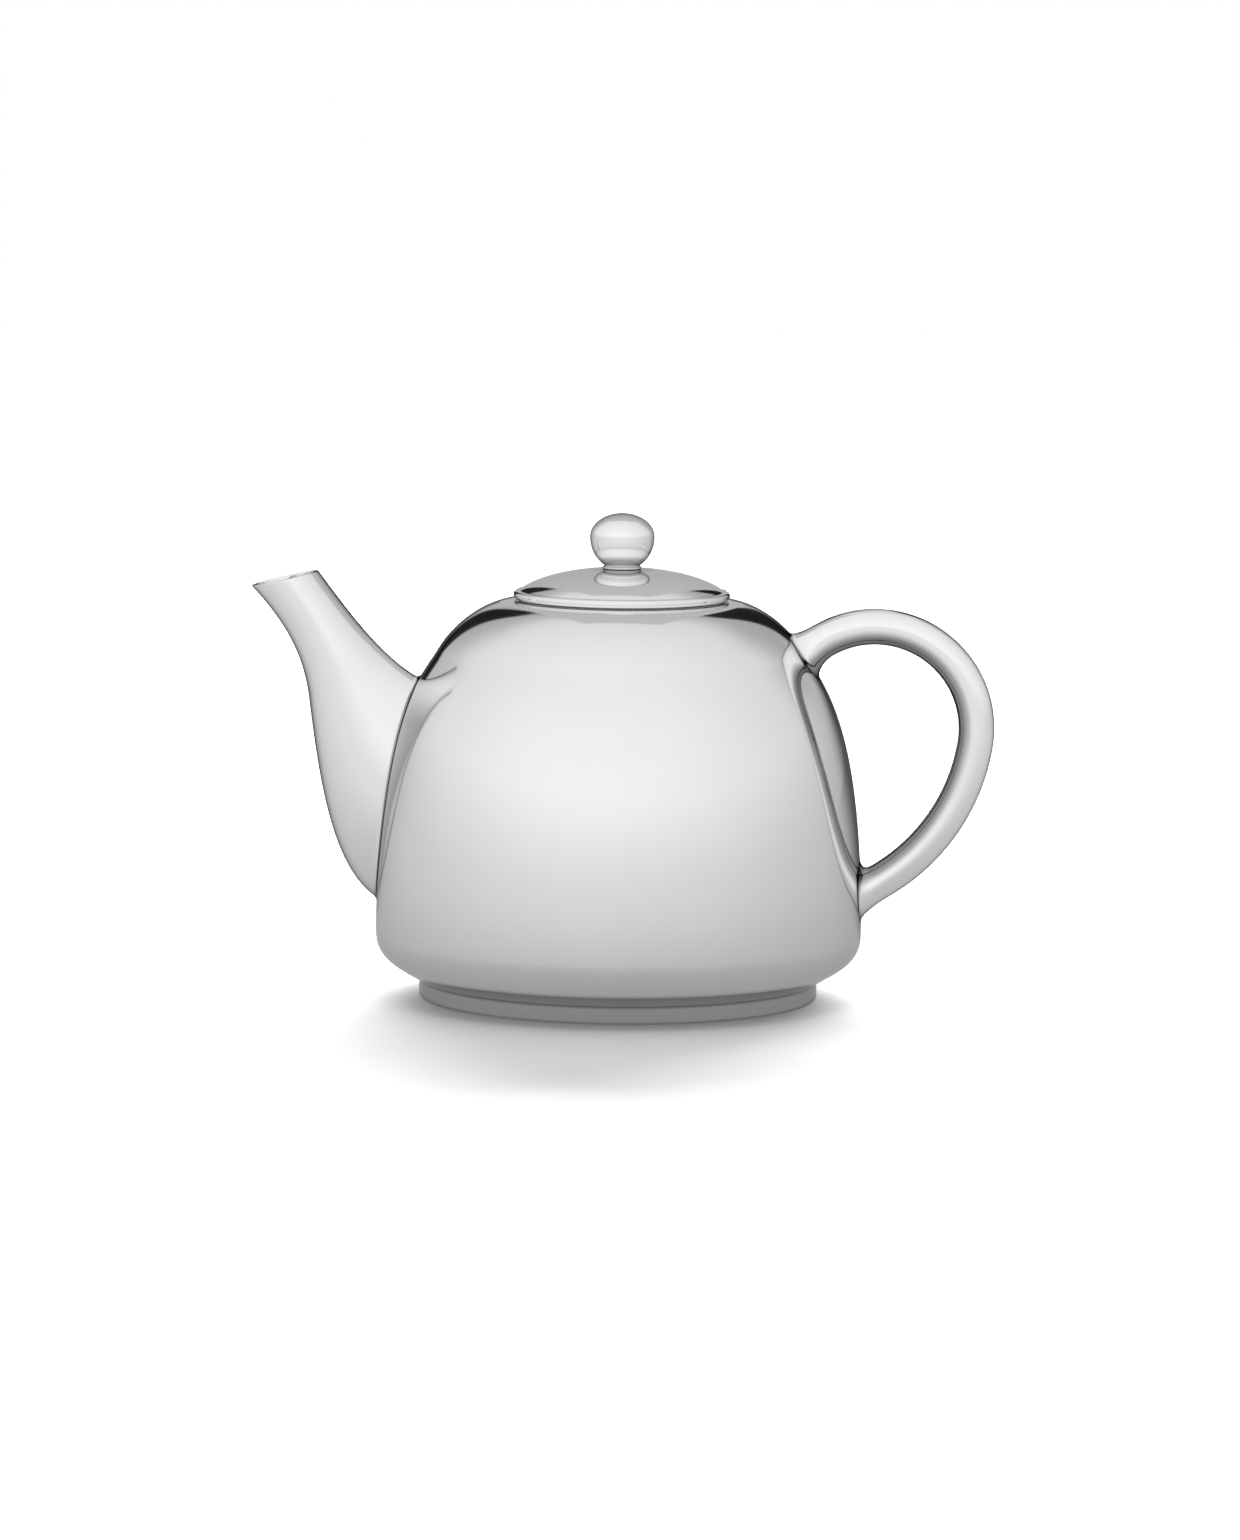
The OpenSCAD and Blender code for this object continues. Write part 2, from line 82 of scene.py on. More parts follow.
# %% [markdown]
# ## Curves and corners
# A silversmith spins a pot's shape from a drawn outline. The same outlines are drawn here as
# radius and height in millimetres. Long sweeps are cubic curves, and every edge that a hand
# would feel is a small arc, because a polished edge is never perfectly sharp and the highlight
# that runs along it is what makes an edge look real.

# %% Outline helpers
CORNER_SHARE = 0.45


def cubic(a, b, c, d, count):
    """count + 1 points along the cubic curve with these four control points."""
    t = np.linspace(0, 1, count + 1)[:, None]
    a, b, c, d = (np.array(p, float) for p in (a, b, c, d))
    return (1 - t) ** 3 * a + 3 * (1 - t) ** 2 * t * b + 3 * (1 - t) * t ** 2 * c + t ** 3 * d


def arc(centre, radius, start, end, count):
    """count + 1 points of an arc, its angles in degrees from the outward direction."""
    angle = np.radians(np.linspace(start, end, count + 1))[:, None]
    return np.array(centre, float) + radius * np.hstack([np.cos(angle), np.sin(angle)])


def lean_in(degrees):
    """The direction that leans inward by this angle from straight up, or outward if negative."""
    return np.array([-math.sin(math.radians(degrees)), math.cos(math.radians(degrees))])


def moved_left(outline, distance):
    """The outline moved to its left, looking along it."""
    step = np.gradient(outline, axis=0)
    step /= np.linalg.norm(step, axis=1)[:, None]
    return outline + distance * np.stack([-step[:, 1], step[:, 0]], axis=1)


def bend(start, pull, end, t):
    """Place at the share t on the quadratic curve from start to end, drawn towards pull."""
    return (1 - t) ** 2 * start + 2 * t * (1 - t) * pull + t ** 2 * end


def soft_corners(corners, radius, count=4):
    """A closed outline through corners, each rounded, but never past the middle of an edge."""
    corners = np.array(corners, float)
    points = []
    for i, corner in enumerate(corners):
        back = corners[i - 1] - corner
        ahead = corners[(i + 1) % len(corners)] - corner
        reach = min(radius, CORNER_SHARE * np.linalg.norm(back), CORNER_SHARE * np.linalg.norm(ahead))
        start = corner + back / np.linalg.norm(back) * reach
        end = corner + ahead / np.linalg.norm(ahead) * reach
        points += [bend(start, corner, end, t) for t in np.linspace(0, 1, count + 1)]
    return np.array(points)


# %% [markdown]
# ## From points to metal
# Every skin here is a grid: rows of points that are joined to their neighbours. A lathe turns an
# outline into such a grid about the pot's axis. Grids are chosen over modifiers because a mirror
# shows the smallest unevenness, and a grid of evenly flowing quads shades without ripples. Edges
# that bend by more than 35 degrees stay crisp, and the rest is shaded smooth.

# %% Mesh helpers
CRISP_ANGLE = math.radians(35)
SAME_PLACE = 1e-7


def grid_skin(name, rows):
    """A mesh from rows of points in mm. Each row closes on itself, and the last row on the first."""
    rows = np.array(rows, float)
    count, around = rows.shape[:2]
    here = np.arange(count * around).reshape(count, around)
    ahead = np.roll(here, -1, axis=0)
    faces = np.stack([here, np.roll(here, -1, axis=1), np.roll(ahead, -1, axis=1), ahead], axis=-1)
    mesh = bpy.data.meshes.new(name)
    mesh.from_pydata((rows * MM).reshape(-1, 3).tolist(), [], faces.reshape(-1, 4).tolist())
    return finished(name, mesh)


def finished(name, mesh):
    """Links a new object, merges points that meet, turns the faces outward and shades them."""
    work = bmesh.new()
    work.from_mesh(mesh)
    bmesh.ops.remove_doubles(work, verts=work.verts, dist=SAME_PLACE)
    bmesh.ops.recalc_face_normals(work, faces=work.faces)
    work.to_mesh(mesh)
    work.free()
    mesh.shade_smooth()
    mesh.set_sharp_from_angle(angle=CRISP_ANGLE)
    piece = bpy.data.objects.new(name, mesh)
    bpy.context.scene.collection.objects.link(piece)
    print(name + ":", len(mesh.vertices), "points")
    return piece


def lathe(name, outline, steps=256):
    """Turns a closed outline of radius and height about the pot's axis."""
    outline = np.array(outline, float)
    angle = np.linspace(0, 2 * math.pi, steps, endpoint=False)
    rows = np.empty((len(outline), steps, 3))
    rows[:, :, 0] = outline[:, :1] * np.cos(angle)
    rows[:, :, 1] = outline[:, :1] * np.sin(angle)
    rows[:, :, 2] = outline[:, 1:]
    return grid_skin(name, rows)


def pierce(piece, cutters):
    """Cuts the cutters, each (centre, axis, radius, length) in mm, out of a piece."""
    work = bmesh.new()
    for centre, axis, radius, length in cutters:
        turn = Vector((0, 0, 1)).rotation_difference(Vector(axis)).to_matrix().to_4x4()
        turn.translation = Vector(centre) * MM
        bmesh.ops.create_cone(work, cap_ends=True, segments=32, radius1=radius * MM,
                              radius2=radius * MM, depth=length * MM, matrix=turn)
    mesh = bpy.data.meshes.new("cutter")
    work.to_mesh(mesh)
    work.free()
    cutter = bpy.data.objects.new("cutter", mesh)
    bpy.context.scene.collection.objects.link(cutter)
    cut = piece.modifiers.new("pierced", "BOOLEAN")
    cut.object = cutter
    cut.solver = "EXACT"
    bpy.context.view_layer.update()
    evaluated = piece.evaluated_get(bpy.context.evaluated_depsgraph_get())
    result = bpy.data.meshes.new_from_object(evaluated)
    piece.modifiers.remove(cut)
    piece.data = result
    bpy.data.objects.remove(cutter)
    print(piece.name, "pierced", len(cutters), "times:", len(result.vertices), "points")


# %% [markdown]
# ## The pot
# The pot is one spun sheet: a short underside that rises from the foot, a flank that leans in,
# and a shoulder that turns level under the lid. It could be a lathe of a few points smoothed by
# subdivision, but then the outline would drift from the frame, so the three curves are drawn
# with the frame's own measures and sampled closely. The inside is the same outline, one sheet
# thickness in, and behind the spout the wall is pierced with small holes that hold the leaves back.

# %% Pot outline
BELLY_R = 78.4
BELLY_Z = 20.5
BELLY_DROP = 9.0
FLANK_LEAD = 68.5
FLANK_PULL = 12.8
SHOULDER_R = 58.9
SHOULDER_DROP = 16.2
SHOULDER_LEAN = 31.0
SHOULDER_PULL = 8.8
SEAT_R = 34.0
SEAT_Z = 128.2
SEAT_RUN = 10.3
MOUTH_R = 31.5
FOOT_R = 64.3
FOOT_H = 5.4
UNDER_RISE = 35.0
UNDER_LEAD = 7.6
belly = np.array([BELLY_R, BELLY_Z])
turn = np.array([SHOULDER_R, SEAT_Z - SHOULDER_DROP])
seat = np.array([SEAT_R, SEAT_Z])
foot_joint = np.array([FOOT_R, FOOT_H])
turn_lean = lean_in(SHOULDER_LEAN)
under_lead = foot_joint + UNDER_LEAD * lean_in(UNDER_RISE - 90)
under = cubic(foot_joint, under_lead, belly - (0, BELLY_DROP), belly, 36)
flank = cubic(belly, belly + (0, FLANK_LEAD), turn - FLANK_PULL * turn_lean, turn, 72)
shoulder = cubic(turn, turn + SHOULDER_PULL * turn_lean, seat + (SEAT_RUN, 0), seat, 40)
pot_outline = np.vstack([under, flank[1:], shoulder[1:]])
pot_radius, pot_height = pot_outline.T
print("pot outline:", len(pot_outline), "points, widest", pot_radius.max(), "mm")


def pot_r(z):
    """Outer radius of the pot at a height."""
    return np.interp(z, pot_height, pot_radius)


# %% Pot skin
POT_WALL = 0.9
LIP_W = 1.6
PAN_T = 1.0
MOUTH_EASE = 0.15
POT_STEPS = 288
pan_r = FOOT_R - LIP_W
inside = moved_left(pot_outline, POT_WALL)
mouth = [(MOUTH_R + MOUTH_EASE, SEAT_Z), (MOUTH_R, SEAT_Z - MOUTH_EASE), (MOUTH_R, SEAT_Z - POT_WALL)]
bottom = [(pan_r, FOOT_H + PAN_T), (pan_r, FOOT_H)]
pot = lathe("pot_skin", np.vstack([pot_outline, mouth, inside[::-1], bottom]), steps=POT_STEPS)

# %% Straining holes
SPOUT_BASE_W = 31.0
SPOUT_LOW_Z = BELLY_Z + 9.7
SPOUT_HIGH_Z = turn[1] - 10.1
STRAIN_R = 1.6
STRAIN_PITCH = 6.4
STRAIN_LOW = 8.8
STRAIN_HIGH = 16.9
STRAIN_SIDE = 6.0
CUT_IN = 10.0
CUT_LENGTH = 40.0
field_low = SPOUT_LOW_Z + STRAIN_LOW
field_high = SPOUT_HIGH_Z - STRAIN_HIGH
field_h = field_high - field_low
field_w = SPOUT_BASE_W - 2 * STRAIN_SIDE
row_h = STRAIN_PITCH * math.sin(math.radians(60))
rows_each_way = math.ceil(field_h / row_h / 2)
columns_each_way = math.ceil(field_w / STRAIN_PITCH)
holes = []
for row in range(-rows_each_way, rows_each_way + 1):
    for column in range(-columns_each_way, columns_each_way + 1):
        y = (column + (0.5 if row % 2 else 0)) * STRAIN_PITCH
        z = row * row_h
        if (2 * y / field_w) ** 2 + (2 * z / field_h) ** 2 <= 1:
            centre = (CUT_IN - BELLY_R, y, (field_low + field_high) / 2 + z)
            holes.append((centre, (1, 0, 0), STRAIN_R, CUT_LENGTH))
pierce(pot, holes)
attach(pot, "pot")
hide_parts("body_shell")

# %% [markdown]
# ## Foot, bottom and collar
# The foot is a band with its lower edge turned in to a flat tread. It is soldered to the pot, and
# the solder leaves a fine hollow fillet in the corner, which shows as a dark line. The bottom
# plate and the collar in the mouth are plain turned parts, lathed with softened corners.

# %% Foot ring
FOOT_WALL = 1.4
FOOT_TREAD = 5.0
FOOT_ROUND = 0.8
TREAD_T = 1.2
SOLDER = 0.7
SOLDER_IN = 0.02
SOLDER_OVER = 0.1
EASE = 0.3
EASE_MIDDLE = 0.1
tread_edge = arc((FOOT_R - FOOT_ROUND, FOOT_ROUND), FOOT_ROUND, -90, 0, 8)
under_dir = (under[1] - under[0]) / np.linalg.norm(under[1] - under[0])
solder_low = foot_joint - (0, SOLDER)
solder_high = foot_joint + under_dir * SOLDER
solder_pull = foot_joint + (SOLDER_IN, -SOLDER_IN)
solder = [bend(solder_low, solder_pull, solder_high, t) for t in np.linspace(0, 1, 7)]
solder_top = [(FOOT_R + SOLDER_OVER, FOOT_H + SOLDER_IN)]
band_r = FOOT_R - FOOT_WALL
tread_r = FOOT_R - FOOT_TREAD
foot_inner = [(band_r, FOOT_H), (band_r, TREAD_T + EASE),
              (band_r - EASE_MIDDLE, TREAD_T + EASE_MIDDLE), (band_r - EASE, TREAD_T),
              (tread_r + EASE, TREAD_T), (tread_r, TREAD_T - EASE), (tread_r, EASE), (tread_r + EASE, 0)]
foot = lathe("foot_skin", np.vstack([tread_edge, solder, solder_top, foot_inner]), steps=POT_STEPS)
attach(foot, "pot")
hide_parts("foot_ring")

# %% Bottom plate and collar
PAN_MARGIN = 9.0
PAN_DOME = 2.5
share = np.linspace(0, 1, 33)
plate_low = np.stack([(pan_r - PAN_MARGIN) * (1 - share),
                      FOOT_H + PAN_DOME * (1 - np.cos(math.pi * share)) / 2], axis=1)
plate_high = plate_low[::-1] + (0, PAN_T)
rim_low = [(pan_r, FOOT_H)]
rim_high = [(pan_r, FOOT_H + PAN_T)]
plate = lathe("bottom_plate", np.vstack([rim_low, plate_low, plate_high, rim_high]))
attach(plate, "pot")
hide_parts("base_pan")

COLLAR_WALL = 0.9
COLLAR_H = 9.0
collar_corners = [(MOUTH_R, SEAT_Z), (MOUTH_R - COLLAR_WALL, SEAT_Z),
                  (MOUTH_R - COLLAR_WALL, SEAT_Z - COLLAR_H), (MOUTH_R, SEAT_Z - COLLAR_H)]
collar = lathe("collar_skin", soft_corners(collar_corners, EASE))
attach(collar, "pot")
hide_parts("mouth_collar")

# %% [markdown]
# ## Soldered joints
# The spout and the handle are hollow and meet the pot along a line that curves both ways. On the
# real pot that line is filled with solder and polished into a small hollow fillet. To build one,
# each strand of the tube stops a little way from the pot, and a short curve carries it down onto
# the pot's surface a little way outside the joint. The joint's own point pulls the curve in.

# %% Joint helper
STAND_OFF = 0.03
HALVINGS = 40


def pot_normal(points):
    """The pot's outward direction at points on its surface."""
    slope = np.gradient(pot_radius, pot_height)
    lean = np.interp(points[:, 2], pot_height, slope)
    ring = np.hypot(points[:, 0], points[:, 1])
    normal = np.stack([points[:, 0] / ring, points[:, 1] / ring, -lean], axis=1)
    return normal / np.linalg.norm(normal, axis=1)[:, None]


def onto_pot(points):
    """Points carried level onto the pot's surface, to stand just off it."""
    ring = np.hypot(points[:, 0], points[:, 1])
    scale = (pot_r(points[:, 2]) + STAND_OFF) / ring
    return points * np.stack([scale, scale, np.ones_like(scale)], axis=1)


def fillet(seam, wall_end, width, count=8):
    """Rows of points that lead from the pot's surface outside the seam up to wall_end."""
    along = np.roll(seam, -1, axis=0) - np.roll(seam, 1, axis=0)
    away = np.cross(along, pot_normal(seam))
    away /= np.linalg.norm(away, axis=1)[:, None]
    if np.sum(away * (seam - seam.mean(axis=0))) < 0:
        away = -away
    landing = onto_pot(seam + away * width)
    return bend(landing, seam, wall_end, np.linspace(0, 1, count + 1)[:, None, None])


# %% [markdown]
# ## The spout
# The spout is two pressed halves soldered into a hollow swan's neck: wide and flat-sided where it
# meets the pot, narrow at the mouth, and cut off on a slant. It is lofted between two curves that
# lie in the pot's middle plane, a lower one with a knee and an upper one, with an oval drawn
# between them at each step. The lip is a half round, as a filed and polished edge is.

# %% Spout curves
SPOUT_MOUTH_W = 20.2
SPOUT_WALL = 1.0
SPOUT_TAPER = 1.6
ROOT_FADE = 4
KNEE_AT = 0.55
KNEE_OUT = 22.45
KNEE_DROP = 7.0
KNEE_LEAN = 7.2
TIP_OUT = 41.7
TIP_UP = 3.2
TIP_LEAN = 44.0
BROW_OUT = 19.9
BROW_UP = 4.8
BROW_LEAN = 36.6
LOW_ROOT_PULL = (-14.8, 9.0)
HIGH_ROOT_PULL = (-11.9, 6.1)
KNEE_PULL_LOW = 26.6
KNEE_PULL_HIGH = 14.9
TIP_PULL = 15.7
BROW_PULL = 15.9
RAIL_STEPS = 400
low_start = np.array([-pot_r(SPOUT_LOW_Z), SPOUT_LOW_Z])
high_start = np.array([-pot_r(SPOUT_HIGH_Z), SPOUT_HIGH_Z])
knee = np.array([-BELLY_R - KNEE_OUT, SPOUT_HIGH_Z - KNEE_DROP])
tip = np.array([-BELLY_R - TIP_OUT, SEAT_Z + TIP_UP])
brow = np.array([-BELLY_R - BROW_OUT, tip[1] + BROW_UP])
knee_lean = lean_in(KNEE_LEAN)
below_knee = knee - KNEE_PULL_LOW * knee_lean
below_tip = tip - TIP_PULL * lean_in(TIP_LEAN)
below_brow = brow - BROW_PULL * lean_in(BROW_LEAN)
low_rail_a = cubic(low_start, low_start + LOW_ROOT_PULL, below_knee, knee, RAIL_STEPS)
low_rail_b = cubic(knee, knee + KNEE_PULL_HIGH * knee_lean, below_tip, tip, RAIL_STEPS)
high_rail = cubic(high_start, high_start + HIGH_ROOT_PULL, below_brow, brow, RAIL_STEPS)
rail_t = np.linspace(0, 1, RAIL_STEPS + 1)


def on_rail(rail, t):
    """Place on a sampled rail at the shares t."""
    return np.stack([np.interp(t, rail_t, rail[:, 0]), np.interp(t, rail_t, rail[:, 1])], axis=-1)


def low_at(t):
    """Place on the lower rail, which changes curve at its knee."""
    first = on_rail(low_rail_a, np.clip(t / KNEE_AT, 0, 1))
    second = on_rail(low_rail_b, np.clip((t - KNEE_AT) / (1 - KNEE_AT), 0, 1))
    return np.where((t < KNEE_AT)[..., None], first, second)


def spout_oval(t, angle, inset):
    """Points of the flat oval section at the shares t, drawn in by inset."""
    low = low_at(t)
    high = on_rail(high_rail, t)
    middle = (low + high) / 2
    half = np.linalg.norm(high - low, axis=-1) / 2
    across = (high - low) / (2 * half[..., None])
    half_w = (SPOUT_MOUTH_W + (SPOUT_BASE_W - SPOUT_MOUTH_W) * (1 - t) ** SPOUT_TAPER) / 2
    reach = (half - inset) * np.cos(angle)
    return np.stack([middle[..., 0] + across[..., 0] * reach, (half_w - inset) * np.sin(angle),
                     middle[..., 1] + across[..., 1] * reach], axis=-1)


def spout_point(t, angle, inset):
    """The first section is carried level onto the pot, and the next ones follow it less and less."""
    point = spout_oval(t, angle, inset)
    foot_point = spout_oval(np.zeros_like(t), angle, inset)
    r = pot_r(foot_point[..., 2]) + STAND_OFF
    seat_x = -np.sqrt(r * r - foot_point[..., 1] ** 2)
    point[..., 0] += (seat_x - foot_point[..., 0]) * (1 - t) ** ROOT_FADE
    return point


# %% Spout skin
SPOUT_ROWS = 110
SPOUT_AROUND = 168
SEAM_FILLET = 2.0
ROOT_SHARE = 0.25
SPOUT_LENGTH = 60.0
LIP_ROUND = SPOUT_WALL / 2
LIP_DEPTH = 0.9 * LIP_ROUND
T_LIP = 1 - LIP_DEPTH / SPOUT_LENGTH
T_STEP = 0.01
angle = np.linspace(0, 2 * math.pi, SPOUT_AROUND, endpoint=False)
early = np.linspace(0, ROOT_SHARE, 80)
strands = spout_point(early[:, None] + 0 * angle, 0 * early[:, None] + angle, 0.0)
lengths = np.vstack([0 * angle, np.cumsum(np.linalg.norm(np.diff(strands, axis=0), axis=2), axis=0)])
t_wall = np.array([np.interp(SEAM_FILLET, lengths[:, j], early) for j in range(SPOUT_AROUND)])
t_rows = t_wall + (T_LIP - t_wall) * np.linspace(0, 1, SPOUT_ROWS)[:, None]
outer = spout_point(t_rows, 0 * t_rows + angle, 0.0)
seam = spout_point(0 * angle, angle, 0.0)
root = fillet(seam, outer[0], SEAM_FILLET)
t_end = np.full_like(angle, T_LIP)
run = spout_oval(t_end, angle, LIP_ROUND) - spout_oval(t_end - T_STEP, angle, LIP_ROUND)
run /= np.linalg.norm(run, axis=1)[:, None]
lip = [spout_point(t_end, angle, LIP_ROUND * (1 - math.cos(a))) + run * LIP_DEPTH * math.sin(a)
       for a in np.linspace(0, math.pi, 11)[1:-1]]
inner_t = np.linspace(T_LIP, 0, 60)[:, None] + 0 * angle
inner = spout_point(inner_t, 0 * inner_t + angle, SPOUT_WALL)
spout = grid_skin("spout_skin", np.concatenate([root[:-1], outer, lip, inner]))
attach(spout, "pot")
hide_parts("spout")

# %% [markdown]
# ## The handle
# The handle is a round tube bent in two arcs that flow into each other: a tight one at the top
# and a wide one below. It swells at both roots before it meets the pot. A curve with a bevel
# could make the tube, but not the swell or the landing on the pot, so its rings are placed one
# by one, and the last one at each end is carried along the tube until it touches the pot.

# %% Handle rings
CROOK_R = 32.62
CROOK_OUT = 3.6
CROOK_DROP = 23.6
BEND_CHANGE = math.radians(8.7)
HANDLE_LOW_UP = 14.94
TUBE_R = 5.75
TUBE_WALL = 1.0
ROOT_FLARE = 2.4
ROOT_LEN = 9.0
crook_c = np.array([BELLY_R + CROOK_OUT, turn[1] - CROOK_DROP])
change_dir = np.array([math.cos(BEND_CHANGE), -math.sin(BEND_CHANGE)])
low_joint_z = BELLY_Z + HANDLE_LOW_UP
low_gap = np.array([pot_r(low_joint_z), low_joint_z]) - crook_c - CROOK_R * change_dir
HEEL_R = -low_gap @ low_gap / (2 * low_gap @ change_dir)
heel_c = crook_c + (CROOK_R - HEEL_R) * change_dir
print("radius of the lower bend in mm:", round(HEEL_R, 2))


def bend_end(centre, radius, low, high):
    """The angle between low, outside the pot, and high, inside it, at which a bend meets the pot."""
    for _ in range(HALVINGS):
        middle = (low + high) / 2
        x, z = centre + radius * np.array([math.cos(middle), math.sin(middle)])
        if x > pot_r(z):
            low = middle
        else:
            high = middle
    return middle


def handle_ring(centre, radius, a, tube, flare, left, a_end, angle):
    """One ring of the tube; left is the share of the root that is still ahead of it."""
    def plain(at, size):
        out = radius + size * np.cos(angle)
        return np.stack([centre[0] + out * math.cos(at), size * np.sin(angle),
                         centre[1] + out * math.sin(at)], axis=1)
    ring = plain(a, tube + flare * left ** 3)
    if left > 0:
        into = np.array([-math.sin(a_end), 0, math.cos(a_end)]) * (1 if a_end > 0 else -1)
        end_ring = plain(a_end, tube + flare)
        low = np.full(len(angle), -3 * TUBE_R)
        high = np.full(len(angle), 3 * TUBE_R)
        for _ in range(HALVINGS):
            middle = (low + high) / 2
            probe = end_ring + middle[:, None] * into
            outside = np.hypot(probe[:, 0], probe[:, 1]) > pot_r(probe[:, 2])
            low = np.where(outside, middle, low)
            high = np.where(outside, high, middle)
        ring = ring + ((low - STAND_OFF) * left ** 2)[:, None] * into
    return ring


# %% Handle skin
HANDLE_AROUND = 96
HANDLE_FILLET = 1.6
CROWDING = 1.4
angle = np.linspace(0, 2 * math.pi, HANDLE_AROUND, endpoint=False)
top_end = bend_end(crook_c, CROOK_R, math.radians(90), math.radians(179))
low_end = bend_end(heel_c, HEEL_R, -BEND_CHANGE, math.radians(-89))
top_root = ROOT_LEN / CROOK_R
low_root = ROOT_LEN / HEEL_R
crowded = np.linspace(0, 1, 25)[:-1] ** CROWDING
crook_turns = np.linspace(top_end - top_root, -BEND_CHANGE, 90)
heel_turns = np.linspace(-BEND_CHANGE, low_end + low_root, 60)[1:]
stations = [(crook_c, CROOK_R, top_end - top_root * s, 1 - s, top_end) for s in crowded]
stations += [(crook_c, CROOK_R, a, 0, top_end) for a in crook_turns]
stations += [(heel_c, HEEL_R, a, 0, low_end) for a in heel_turns]
stations += [(heel_c, HEEL_R, low_end + low_root * s, 1 - s, low_end) for s in crowded[::-1]]


def tube_rows(tube, flare):
    """The tube's rings from the top joint to the bottom one."""
    return np.array([handle_ring(centre, radius, a, tube, flare, left, end, angle)
                     for centre, radius, a, left, end in stations])


def trimmed(rows, width):
    """rows that start at the joint, with the first stretch replaced by a fillet onto the pot."""
    step = np.linalg.norm(np.diff(rows, axis=0), axis=2)
    length = np.vstack([0 * step[:1], np.cumsum(step, axis=0)])
    whole = length[-1]
    moved = np.empty_like(rows)
    for j in range(rows.shape[1]):
        places = width + (whole[j] - width) * length[:, j] / whole[j]
        for k in range(3):
            moved[:, j, k] = np.interp(places, length[:, j], rows[:, j, k])
    return np.concatenate([fillet(rows[0], moved[0], width)[:-1], moved])


outer = tube_rows(TUBE_R, ROOT_FLARE)
inner = tube_rows(TUBE_R - TUBE_WALL, 0)
half = len(outer) // 2
top_half = trimmed(outer[:half], HANDLE_FILLET)
low_half = trimmed(outer[half:][::-1], HANDLE_FILLET)[::-1]
handle = grid_skin("handle_skin", np.concatenate([top_half, low_half, inner[::-1]]))
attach(handle, "pot")
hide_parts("handle")

# %% [markdown]
# ## The lid
# The lid is a low dome with its edge rolled into a soft rim, over a flange that drops into the
# collar. The crease between rim and dome is where a thin dark line gathers, so it is kept narrow.
# The vent is a small drilled hole on the far side.

# %% Lid top
LIP_R = 32.6
RIM_GAP = 0.3
RIM_W = 2.25
RIM_ROUND = 1.4
RIM_EASE = 0.2
LID_RISE = 10.1
LID_WALL = 0.9
CREASE_IN = 0.3
CREASE_H = 1.3
DOME_RISE = 38.0
DOME_LEAD = 7.4
DOME_RUN = 8.5
PAD_R = 6.4
SCREW_HOLE_R = 2.15
VENT_R = 1.25
VENT_AT = 18.0
VENT_UP = 5.0
VENT_CUT = 30.0
rim_z = SEAT_Z + RIM_GAP
apex_z = SEAT_Z + LID_RISE
rim_mid = np.array([LIP_R + RIM_W - RIM_ROUND, rim_z + RIM_ROUND])
crease = rim_mid + (-CREASE_IN, CREASE_H)
pad = np.array([PAD_R, apex_z])
rim_edge = arc(rim_mid, RIM_ROUND, -90, 60, 28)
dome = cubic(crease, crease + DOME_LEAD * lean_in(90 - DOME_RISE), pad + (DOME_RUN, 0), pad, 64)
dome_inside = moved_left(dome, LID_WALL)[::-1]
dome_inside[:, 0] = np.minimum(dome_inside[:, 0], LIP_R)
rim_inner = [(LIP_R, rim_z + RIM_EASE), (LIP_R + RIM_EASE, rim_z)]
screw_hole = [(SCREW_HOLE_R, apex_z), (SCREW_HOLE_R, apex_z - LID_WALL)]
lid = lathe("lid_skin", np.vstack([rim_inner, rim_edge, dome, screw_hole, dome_inside]))
pierce(lid, [((0, VENT_AT, rim_z + VENT_UP), (0, 0, 1), VENT_R, VENT_CUT)])
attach(lid, "lid")
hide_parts("lid_dome")

# %% Lid flange
FLANGE_R = 30.3
FLANGE_WALL = 0.8
FLANGE_H = 8.0
FLANGE_LIP_T = 0.8
flange_in = FLANGE_R - FLANGE_WALL
flange_corners = [(FLANGE_R, SEAT_Z - FLANGE_H), (FLANGE_R, SEAT_Z), (LIP_R, SEAT_Z),
                  (LIP_R, SEAT_Z + FLANGE_LIP_T), (flange_in, SEAT_Z + FLANGE_LIP_T),
                  (flange_in, SEAT_Z - FLANGE_H)]
flange = lathe("flange_skin", soft_corners(flange_corners, EASE))
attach(flange, "lid")
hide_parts("lid_flange")

# %% [markdown]
# ## The knob
# The knob is turned from solid bar: an egg, wider end up, on a short neck with one fine bead
# where it sits on the lid. A lathe of two cubic curves gives the egg without a flat or a pole.

# %% Knob
KNOB_R = 10.4
KNOB_H = 18.0
KNOB_WIDE_Z = 10.4
NECK_R = 5.8
NECK_H = 0.3
BEAD_R = 0.5
EGG_TUCK = (1.4, 0.9)
EGG_FALL = 5.2
CROWN_RISE = 4.4
CROWN_RUN = 5.4
SCREW_R = 2.0
SCREW_IN = 8.0
KNOB_STEPS = 192
widest = np.array([KNOB_R, KNOB_WIDE_Z])
neck = np.array([NECK_R, 2 * BEAD_R + NECK_H])
bead = arc((NECK_R, BEAD_R), BEAD_R, -90, 90, 14)
egg = cubic(neck, neck + EGG_TUCK, widest - (0, EGG_FALL), widest, 40)
crown = cubic(widest, widest + (0, CROWN_RISE), (CROWN_RUN, KNOB_H), (0, KNOB_H), 48)
bore = [(0, SCREW_IN), (SCREW_R, SCREW_IN), (SCREW_R, 0)]
knob_outline = np.vstack([bead, egg, crown[1:], bore]) + (0, apex_z)
knob = lathe("knob_skin", knob_outline, steps=KNOB_STEPS)
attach(knob, "lid")
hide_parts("knob")

# %% [markdown]
# ## Finishes
# A material is a small program of nodes. Written as plain Python expressions it stays readable:
# the class below wraps a socket, so that adding or multiplying two sockets adds a Math node, and
# its node method makes any other node from its type, its settings and its inputs.

